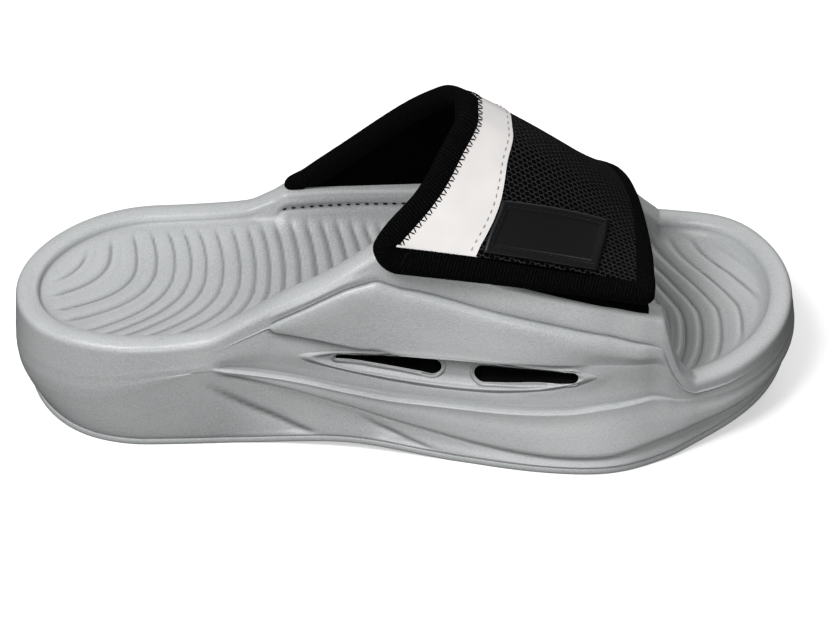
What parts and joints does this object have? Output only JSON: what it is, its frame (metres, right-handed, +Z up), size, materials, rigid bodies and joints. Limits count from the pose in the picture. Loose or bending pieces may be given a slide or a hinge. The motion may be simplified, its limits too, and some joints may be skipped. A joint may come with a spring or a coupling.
{
  "type": "slide sandal",
  "caption": "Sport slide sandal for the right foot: moulded grey foam sole with side wings and a wide black hook-and-loop mesh strap with a pale wedge.",
  "frame": {"origin": "centre of the bounding box on the floor, under the tread", "axes": "+X toward the toe, +Y toward the inner side of the foot, +Z up"},
  "size_m": [0.2859, 0.1187, 0.1204],
  "materials": {
    "grey_foam": "satin moulded foam with a fine speckled grain",
    "grey_tread": "matte",
    "black_lining": "matte padded lining",
    "black_tape": "ribbed woven tape",
    "black_mesh": "open mesh over a backing",
    "pale_leather": "smooth synthetic leather",
    "black_rubber": "satin, bare"
  },
  "bodies": {
    "root": {"sole": "grey_foam", "outsole": "grey_tread", "strap_over": "black_lining", "strap_under": "black_lining", "edge_binding": "black_tape", "mesh_panel": "black_mesh", "stripe_panel": "pale_leather", "label_patch": "black_rubber"}
  },
  "joints": []
}
